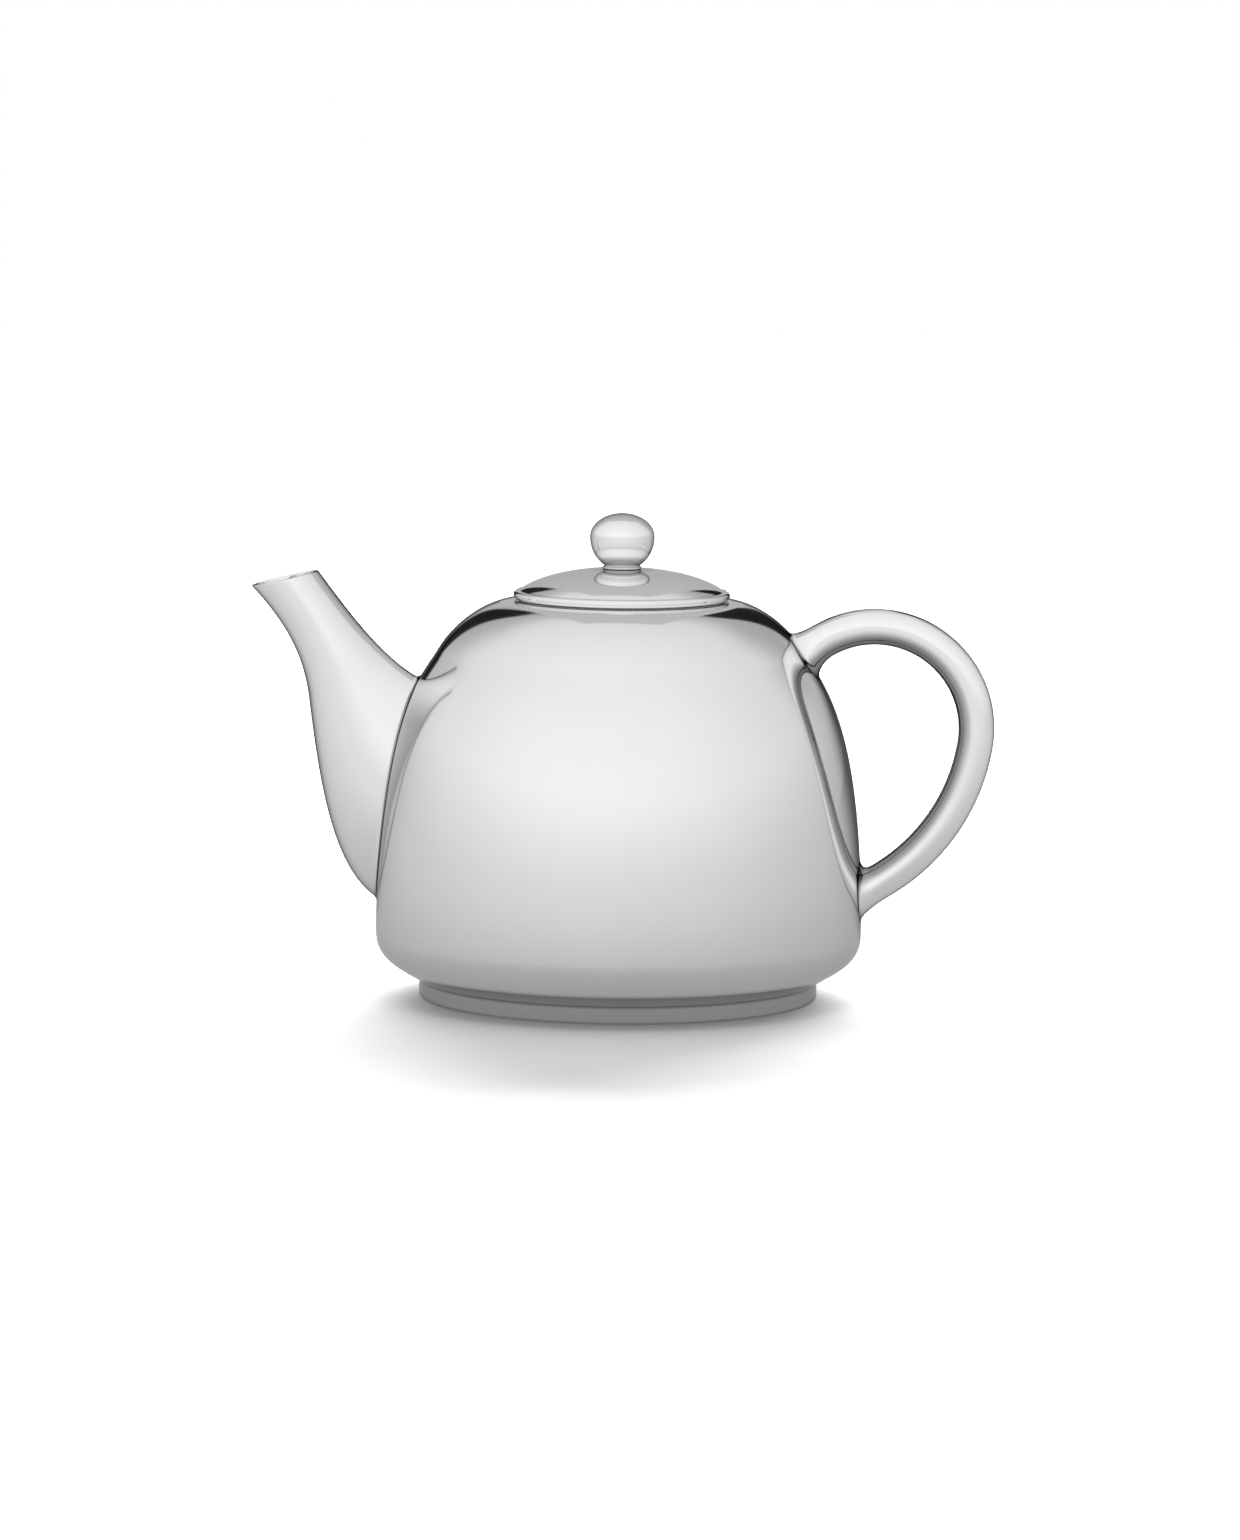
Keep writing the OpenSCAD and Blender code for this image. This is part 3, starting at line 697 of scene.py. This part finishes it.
# %% Shader maths
class Wire:
    """A socket, or a node tree before its first node, with arithmetic that adds Math nodes."""

    def __init__(self, tree, socket=None):
        self.tree = tree
        self.socket = socket

    def node(self, kind, settings=None, inputs=None, output=0):
        """Adds a node. Settings come first, then its inputs, by name or number."""
        new = self.tree.nodes.new(kind)
        for key, value in (settings or {}).items():
            setattr(new, key, value)
        for key, value in (inputs or {}).items():
            if isinstance(value, Wire):
                self.tree.links.new(value.socket, new.inputs[key])
            else:
                new.inputs[key].default_value = value
        return Wire(self.tree, new.outputs[output] if new.outputs else None)

    def math(self, operation, *values):
        """A Math node on these values."""
        return self.node("ShaderNodeMath", {"operation": operation}, dict(enumerate(values)))

    def __add__(self, other):
        return self.math("ADD", self, other)

    def __radd__(self, other):
        return self.math("ADD", other, self)

    def __sub__(self, other):
        return self.math("SUBTRACT", self, other)

    def __rsub__(self, other):
        return self.math("SUBTRACT", other, self)

    def __mul__(self, other):
        return self.math("MULTIPLY", self, other)

    def __rmul__(self, other):
        return self.math("MULTIPLY", other, self)

    def __truediv__(self, other):
        return self.math("DIVIDE", self, other)

    def __rtruediv__(self, other):
        return self.math("DIVIDE", other, self)

    def __pow__(self, other):
        return self.math("POWER", self, other)

    def __rpow__(self, other):
        return self.math("POWER", other, self)

    def __abs__(self):
        return self.math("ABSOLUTE", self)

    def root(self):
        return self.math("SQRT", self)

    def exp(self):
        return self.math("EXPONENT", self)

    def split(self):
        """The three parts of a vector."""
        parts = self.node("ShaderNodeSeparateXYZ", inputs={0: self}).socket.node.outputs
        return [Wire(self.tree, part) for part in parts]

    def rise(self, start, end):
        """0 below start and 1 above end, with a smooth step between them."""
        return self.node("ShaderNodeMapRange", {"interpolation_type": "SMOOTHSTEP"},
                         {"Value": self, "From Min": start, "From Max": end})


def fresh(holder):
    """Empties the node tree of a material or a world and returns it, ready for its first node."""
    holder.use_nodes = True
    holder.node_tree.nodes.clear()
    return Wire(holder.node_tree)


def apart(a, b):
    """How far apart two places are that differ by a one way and by b across it."""
    return (a * a + b * b).root()


# %% [markdown]
# ## Polished silver
# Silver plate is a metal with almost no colour of its own, so nearly all of its look is what it
# reflects. What tells it from chrome is how soft that reflection is: buffing leaves fine
# hairlines round the turned parts, and handling leaves broad, faint patches where the polish is
# duller. Hairlines are a noise that is stretched round the axis, patches are a coarse noise, and
# both drive the roughness. A very low bump lets the reflections swim a little, as they do in
# sheet metal that was worked by hand. Real silver stays bright at a glancing angle, and a fine
# dark line round it is the mirror image of something dark. Here Specular Tint draws that line by
# dimming what is seen at a glancing angle. It is a stand-in, and it stays under any other light.

# %% Silver
HAIRS_ACROSS = 2600
HAIRS_ALONG = 18
HAIR_BUMP = 0.02
PATCH_SCALE = 34.0
PATCH_BAND = (0.35, 0.75)
PATCH_TARNISH = 0.02
SPECK_SCALE = 900.0
SPECK_BAND = (0.62, 0.8)
SPECK_SHARE = 0.3
WAVE_SCALE = 22.0
# The grey that tarnish and painted shade both mix the colour towards.
TARNISH_AND_SHADE_GREY = (0.22, 0.22, 0.22, 1)


def metal(name, tint, polish, patchy, hairline, swim, edge=1.0, tarnish_and_shade=None):
    """A worked metal. polish is its base roughness, patchy and hairline say how uneven that is,
    and swim is how deep the bump is, in mm. edge is the share of light that is left at a glancing
    angle. The last one gives the share of tarnish and painted shade, 0 to 1, from x, y and z in mm."""
    material = bpy.data.materials.new(name)
    start = fresh(material)
    place = start.node("ShaderNodeTexCoord", output="Object")
    x, y, z = place.split()
    turned = start.node("ShaderNodeCombineXYZ", inputs={
        0: apart(x, y) * HAIRS_ACROSS, 1: z * HAIRS_ACROSS, 2: x * HAIRS_ALONG})
    lines = start.node("ShaderNodeTexNoise", inputs={
        "Vector": turned, "Scale": 1.0, "Detail": 2.0, "Roughness": 0.6})
    patches = start.node("ShaderNodeTexNoise", inputs={
        "Vector": place, "Scale": PATCH_SCALE, "Detail": 4.0, "Roughness": 0.55})
    specks = start.node("ShaderNodeTexNoise", inputs={
        "Vector": place, "Scale": SPECK_SCALE, "Detail": 1.0})
    waves = start.node("ShaderNodeTexNoise", inputs={
        "Vector": place, "Scale": WAVE_SCALE, "Detail": 1.0})
    rough = polish + (patches - 0.5) * patchy + (lines - 0.5) * hairline
    rough = rough + specks.rise(*SPECK_BAND) * patchy * SPECK_SHARE
    bump = start.node("ShaderNodeBump", inputs={
        "Strength": 1.0, "Distance": swim * MM, "Height": waves + lines * HAIR_BUMP})
    dark = patches.rise(*PATCH_BAND) * PATCH_TARNISH
    # Tarnish and painted shade from the last argument darken the colour here.
    if tarnish_and_shade:
        dark = dark + tarnish_and_shade(x / MM, y / MM, z / MM)
    colour = start.node("ShaderNodeMix", {"data_type": "RGBA"},
                        {0: dark, 6: (*tint, 1), 7: TARNISH_AND_SHADE_GREY}, output=2)
    shader = start.node("ShaderNodeBsdfPrincipled", inputs={
        "Base Color": colour, "Roughness": rough, "Metallic": 1.0,
        "Specular Tint": (edge, edge, edge, 1), "Normal": bump})
    start.node("ShaderNodeOutputMaterial", inputs={0: shader})
    return material


# %% [markdown]
# ## Tarnish and painted shade
# A cloth doesn't reach into corners, so silver tarnishes along its seams. The rest of the darkening
# here is painted shade and painted reflection: round the roots of the spout and the handle, on the
# handle's inner side, round the knob's seat, in its neck, on the foot and on the lower flank. It
# stands in for shade and for dark things that the metal would mirror. The shares here are chosen
# for the look, and they are higher than tarnish alone would give. For each piece that has some, a
# function works out its share from a point's place. That is chosen over a painted mask, which would
# need an unwrapped mesh and would show its pixels. Each pair of numbers says where a share starts
# to change and where it stops, in mm.

# %% Tarnish and painted shade
# The low, spout, root, foot, inner and neck shares are painted shade and painted reflection; the seam
# shares are tarnish.
LOW_PAINTED_SHADE = 0.24
LOW_BAND = (10, 66)
SEAM_TARNISH = 0.45
SEAM_BAND = (0.1, 0.7)
SIDE_BAND = (20, 40)
SPOUT_PAINTED_REFLECTION = 0.78
SPOUT_SPREAD = 0.285
SPOUT_SIDE_BAND = (8, 12)
SPOUT_LOW_BAND = (24, 44)
SPOUT_HIGH_BAND = (90, 104)
ROOT_PAINTED_REFLECTION = 0.60
ROOT_BAND = (7, 17)
FOOT_PAINTED_SHADE = 0.62
FOOT_SEAM_SHARE = 0.5
FOOT_SEAM_BAND = (0.1, 0.8)
INNER_PAINTED_SHADE = 0.80
INNER_BAND = (-3.9, -0.7)
HEEL_BAND = (-4, 14)
KNOB_SEAT_BAND = (8.6, 12.0)
NECK_PAINTED_SHADE = 0.25
NECK_BAND = (0.8, 3.5)
high_joint_z = crook_c[1] + CROOK_R * math.sin(top_end)
print("handle's upper root at z", round(high_joint_z, 1))


def pot_tarnish_and_shade(x, y, z):
    """Tarnish along the foot's seam, painted shade low on the flank and painted reflections round the
    roots of spout and handle.
    """
    # Painted shade: the flank grows darker towards the bottom, as its mirror image of the table does.
    low = (1 - z.rise(*LOW_BAND)) * LOW_PAINTED_SHADE
    seam = (1 - abs(z - FOOT_H).rise(*SEAM_BAND)) * SEAM_TARNISH
    # Painted reflection: a dark band beside the spout's root, where the pot mirrors the spout.
    beside = abs(y) - z * SPOUT_SPREAD
    spout_root = (1 - beside.rise(*SPOUT_SIDE_BAND)) * (0 - x).rise(*SIDE_BAND)
    spout_root = spout_root * z.rise(*SPOUT_LOW_BAND) * (1 - z.rise(*SPOUT_HIGH_BAND)) * SPOUT_PAINTED_REFLECTION
    # Painted reflection: darker round the handle's roots, where the pot mirrors the handle.
    high_reach = apart(y, z - high_joint_z)
    low_reach = apart(y, z - low_joint_z)
    reach = high_reach.math("MINIMUM", high_reach, low_reach)
    handle_root = (1 - reach.rise(*ROOT_BAND)) * x.rise(*SIDE_BAND) * ROOT_PAINTED_REFLECTION
    return 1 - (1 - low) * (1 - seam) * (1 - spout_root) * (1 - handle_root)


def foot_tarnish_and_shade(x, y, z):
    """Painted shade on the whole foot, with tarnish darkest in the seam above it."""
    seam = (1 - abs(z - FOOT_H).rise(*FOOT_SEAM_BAND)) * FOOT_SEAM_SHARE
    return FOOT_PAINTED_SHADE + (1 - FOOT_PAINTED_SHADE) * seam


def grip_painted_shade(x, y, z):
    """Painted shade on the handle's inner side, which faces the pot."""
    from_crook = apart(x - crook_c[0], z - crook_c[1]) - CROOK_R
    from_heel = apart(x - heel_c[0], z - heel_c[1]) - HEEL_R
    off = from_crook + (from_heel - from_crook) * (crook_c[1] - z).rise(*HEEL_BAND)
    return (1 - off.rise(*INNER_BAND)) * INNER_PAINTED_SHADE


def lid_painted_shade(x, y, z):
    """Painted shade and painted reflection round the knob's seat."""
    return (1 - apart(x, y).rise(*KNOB_SEAT_BAND)) * ROOT_PAINTED_REFLECTION


def knob_painted_shade(x, y, z):
    """Painted shade in the knob's neck."""
    return (1 - (z - apex_z).rise(*NECK_BAND)) * NECK_PAINTED_SHADE


# %% Finishes
SILVER = (0.94, 0.94, 0.94)
# The handle and the knob get a brighter copy of the same silver: painted light that lifts them.
LIT_SILVER = (0.985, 0.985, 0.985)
PLAIN = (0.88, 0.87, 0.86)
STEEL = (0.70, 0.70, 0.71)
sheet = dict(polish=0.085, patchy=0.05, hairline=0.02, swim=0.02)
pot_silver = metal("silver_pot", SILVER, **sheet, edge=0.9, tarnish_and_shade=pot_tarnish_and_shade)
foot_silver = metal("silver_foot", SILVER, **sheet, edge=0.8, tarnish_and_shade=foot_tarnish_and_shade)
spout_silver = metal("silver_spout", SILVER, **sheet, edge=0.2)
lid_silver = metal("silver_lid", SILVER, **sheet, edge=0.85, tarnish_and_shade=lid_painted_shade)
grip_silver = metal("silver_grip", LIT_SILVER, **sheet, edge=0.2, tarnish_and_shade=grip_painted_shade)
knob_silver = metal("silver_knob", LIT_SILVER, **sheet, edge=0.3, tarnish_and_shade=knob_painted_shade)
plain = metal("plain_silver", PLAIN, polish=0.24, patchy=0.12, hairline=0.10, swim=0.03)
steel = metal("plated_steel", STEEL, polish=0.30, patchy=0.10, hairline=0.12, swim=0.02)
screw = frame["nodes"]["knob_screw"]
washer = frame["nodes"]["knob_washer"]
dressed = [(pot, pot_silver), (foot, foot_silver), (spout, spout_silver), (lid, lid_silver),
           (handle, grip_silver), (knob, knob_silver), (plate, plain), (collar, plain),
           (flange, plain), (screw, steel), (washer, steel)]
for piece, material in dressed:
    piece.data.materials.clear()
    piece.data.materials.append(material)
print("finishes:", len(bpy.data.materials), "on", len(dressed), "pieces")

# %% [markdown]
# ## The table
# The table is a plain pale disc that keeps the pot's soft shadow, because a shiny object without
# one seems to float. Polished metal also mirrors the table in its lower parts. A plain pale table
# would look flat in there, so the metal sees a grey glow in its place: dark close to the foot, a
# painted shadow of the pot, brighter further out, and dimmer towards the back, until it is as dark
# as the gap in the tent.
# It is worked out from a point's distance from the pot's axis, in metres, and its bearing.

# %% Table
TABLE_R = 4.0
TABLE_SEEN = (0.92, 0.92, 0.92, 1)
TABLE_FAR = 0.656
TABLE_FAR_NORTH = 0.123
TABLE_FAR_EAST = 0.025
TABLE_NEAR = 0.43
NEAR_EDGE = 0.064
NEAR_REACH = 0.15
CONTACT = 0.25
CONTACT_BAND = (0.060, 0.068)
FLANK_DIM = 0.12
FLANK_BEARING = (112, 152)
FLANK_AWAY = (0.1, 0.5)
TABLE_BEHIND = 0.09
BEHIND_BEARING = (132, 162)
BEHIND_AWAY = (0.03, 0.2)
DEGREES = 180 / math.pi
table_mesh = bpy.data.meshes.new("floor")
work = bmesh.new()
bmesh.ops.create_circle(work, cap_ends=True, segments=128, radius=TABLE_R)
work.to_mesh(table_mesh)
work.free()
table = bpy.data.objects.new("floor", table_mesh)
bpy.context.scene.collection.objects.link(table)
table_look = bpy.data.materials.new("pale_table")
start = fresh(table_look)
east, north = start.node("ShaderNodeTexCoord", output="Object").split()[:2]
away = apart(east, north)
far = TABLE_FAR - TABLE_FAR_NORTH * north / away - TABLE_FAR_EAST * east / away
# Painted shadow: the glow grows dark close to the foot, where the pot would shade the table.
bright = far - (far - TABLE_NEAR) * ((NEAR_EDGE - away) / NEAR_REACH).exp()
bright = bright * (CONTACT + (1 - CONTACT) * away.rise(*CONTACT_BAND))
from_front = abs(east.math("ARCTAN2", east, 0 - north)) * DEGREES
bright = bright * (1 - FLANK_DIM * from_front.rise(*FLANK_BEARING) * away.rise(*FLANK_AWAY))
behind = from_front.rise(*BEHIND_BEARING) * north.rise(*BEHIND_AWAY)
bright = bright - (bright - TABLE_BEHIND) * behind
grey = start.node("ShaderNodeCombineColor", inputs={0: bright, 1: bright, 2: bright})
paper = start.node("ShaderNodeBsdfDiffuse", inputs={"Color": TABLE_SEEN})
for_metal = start.node("ShaderNodeEmission", inputs={"Color": grey, "Strength": 1.0})
mirrored = start.node("ShaderNodeLightPath", output="Is Glossy Ray")
both = start.node("ShaderNodeMixShader", inputs={0: mirrored, 1: paper, 2: for_metal})
start.node("ShaderNodeOutputMaterial", inputs={0: both})
table_look.cycles.emission_sampling = "NONE"
table.data.materials.append(table_look)
print("table:", 2 * TABLE_R, "m across")

# %% [markdown]
# ## The studio
# Silver is shown inside a tent of white cloth, bright in front and a little dimmer behind, with
# two dark cards behind the object. The cards draw the black lines along the shoulders that give
# a mirror its form, and low down behind, the tent leaves a dark gap. A world shader can be all of
# it at once: it is a function of direction only, so the tent, the cards, the gap and the soft
# shade round them are written as height and bearing, in degrees. Only mirror reflections see this
# tent. The camera sees plain white, and what is matt is lit by a soft light from overhead that is
# stronger behind the pot. With the window below it lights the pale table past white, at about
# 1.7 times a plain level. Lower both lights to show a matt object beside the pot.

# %% Tent and cards
TENT = 0.80
TENT_NORTH = 0.15
TENT_EAST = 0.03
TENT_LOW = 0.82
TENT_BAND = (-4, 16)
SHADE_LOW = 0.12
SHADE_MORE = 0.26
SHADE_BAND = (4, 24)
SHADE_START = (112, 152)
SHADE_END = (166, 178)
SHADE_TOP = (36, 58)
GAP_DARK = 0.88
GAP_BEARING = (140, 167)
GAP_TOP = (2, 12)
CARD_DARK = 0.97
CARD_EDGE = 0.12
CARD_ROUNDNESS = 2.6
OVERHEAD = 2.23
OVERHEAD_NORTH = 0.88
OVERHEAD_BAND = (11, 110)
world = bpy.data.worlds.new("white_tent")
bpy.context.scene.world = world
start = fresh(world)
east, north, up = start.node("ShaderNodeTexCoord", output="Generated").split()
height = up.math("ARCSINE", up) * DEGREES
bearing = east.math("ARCTAN2", east, 0 - north) * DEGREES
from_front = abs(bearing)


def card(at_bearing, at_height, half_w, half_h, tilt):
    """1 inside a dark card with rounded corners, 0 outside it, all in degrees."""
    rise = height - at_height
    side = bearing - at_bearing - rise * tilt
    across = abs(side / half_w) ** CARD_ROUNDNESS
    upward = abs(rise / half_h) ** CARD_ROUNDNESS
    off = (across + upward) ** (1 / CARD_ROUNDNESS)
    return 1 - off.rise(1 - CARD_EDGE, 1 + CARD_EDGE)


tent = TENT - north * TENT_NORTH - east * TENT_EAST
tent = tent * (TENT_LOW + (1 - TENT_LOW) * height.rise(*TENT_BAND))
shade = from_front.rise(*SHADE_START) * (1 - from_front.rise(*SHADE_END))
shade = shade * (1 - height.rise(*SHADE_TOP))
studio = tent * (1 - shade * (SHADE_LOW + SHADE_MORE * height.rise(*SHADE_BAND)))
gap = from_front.rise(*GAP_BEARING) * (1 - height.rise(*GAP_TOP))
studio = studio * (1 - gap * GAP_DARK)
left_card = card(-158, 19, half_w=7.6, half_h=17.5, tilt=-0.06)
right_card = card(169.5, 21, half_w=8.5, half_h=17.5, tilt=0.0)
cards = left_card.math("MAXIMUM", left_card, right_card)
studio = studio * (1 - cards * CARD_DARK)
overhead = OVERHEAD * height.rise(*OVERHEAD_BAND) * (1 + OVERHEAD_NORTH * north)
seen = start.node("ShaderNodeLightPath", output="Is Camera Ray")
mirrored = start.node("ShaderNodeLightPath", output="Is Glossy Ray")
strength = seen + mirrored * studio + (1 - seen - mirrored) * overhead
background = start.node("ShaderNodeBackground", inputs={"Color": (1, 1, 1, 1), "Strength": strength})
start.node("ShaderNodeOutputWorld", inputs={0: background})
print("studio nodes:", len(world.node_tree.nodes))

# %% [markdown]
# ## The window
# A wide, low light behind the pot throws its soft shadow forward over the table. A sun lamp is
# chosen over an area lamp, because its light is the same all over the table, and its large angle
# leaves the shadow no hard edge. Neither the camera nor the metal sees it, because in a mirror a
# light this strong would be a glare.

# %% Window
WINDOW_UP = math.radians(14)
WINDOW_WIDE = math.radians(57)
WINDOW_LIGHT = 13.5
window_data = bpy.data.lights.new("window", "SUN")
window_data.energy = WINDOW_LIGHT
window_data.angle = WINDOW_WIDE
window = bpy.data.objects.new("window", window_data)
window.rotation_euler = (WINDOW_UP - math.pi / 2, 0, 0)
window.visible_camera = False
window.visible_glossy = False
bpy.context.scene.collection.objects.link(window)
shine = window.rotation_euler.to_matrix() @ Vector((0, 0, -1))
print("window shines along", [round(v, 2) for v in shine])

# %% [markdown]
# ## The card behind the lid
# A grey card stands close behind the lid and gives the lid's dome something quiet to mirror. It
# is a real card and not a part of the world, because it stands so near that the lid and the
# shoulder see it in different directions. Only mirror reflections see it.

# %% Lid card
CARD_LEFT = -0.046
CARD_RIGHT = 0.040
CARD_BEHIND = 0.045
CARD_LOW = 0.131
CARD_HIGH = 0.30
CARD_GREY = (0.52, 0.52, 0.52, 1)
card_mesh = bpy.data.meshes.new("lid_card")
card_mesh.from_pydata([(CARD_LEFT, CARD_BEHIND, CARD_LOW), (CARD_RIGHT, CARD_BEHIND, CARD_LOW),
                       (CARD_RIGHT, CARD_BEHIND, CARD_HIGH), (CARD_LEFT, CARD_BEHIND, CARD_HIGH)],
                      [], [(0, 1, 2, 3)])
card_look = bpy.data.materials.new("lid_card")
start = fresh(card_look)
glow = start.node("ShaderNodeEmission", inputs={"Color": CARD_GREY, "Strength": 1.0})
start.node("ShaderNodeOutputMaterial", inputs={0: glow})
card_look.cycles.emission_sampling = "NONE"
card_mesh.materials.append(card_look)
lid_card = bpy.data.objects.new("lid_card", card_mesh)
bpy.context.scene.collection.objects.link(lid_card)
lid_card.visible_camera = False
lid_card.visible_diffuse = False
lid_card.visible_shadow = False
lid_card.visible_transmission = False
print("lid card:", round(CARD_RIGHT - CARD_LEFT, 3), "m wide")

# %% [markdown]
# ## Finish
# The view transform is set to Standard, so that white is white.

# %% Finish
bpy.context.scene.view_settings.view_transform = "Standard"
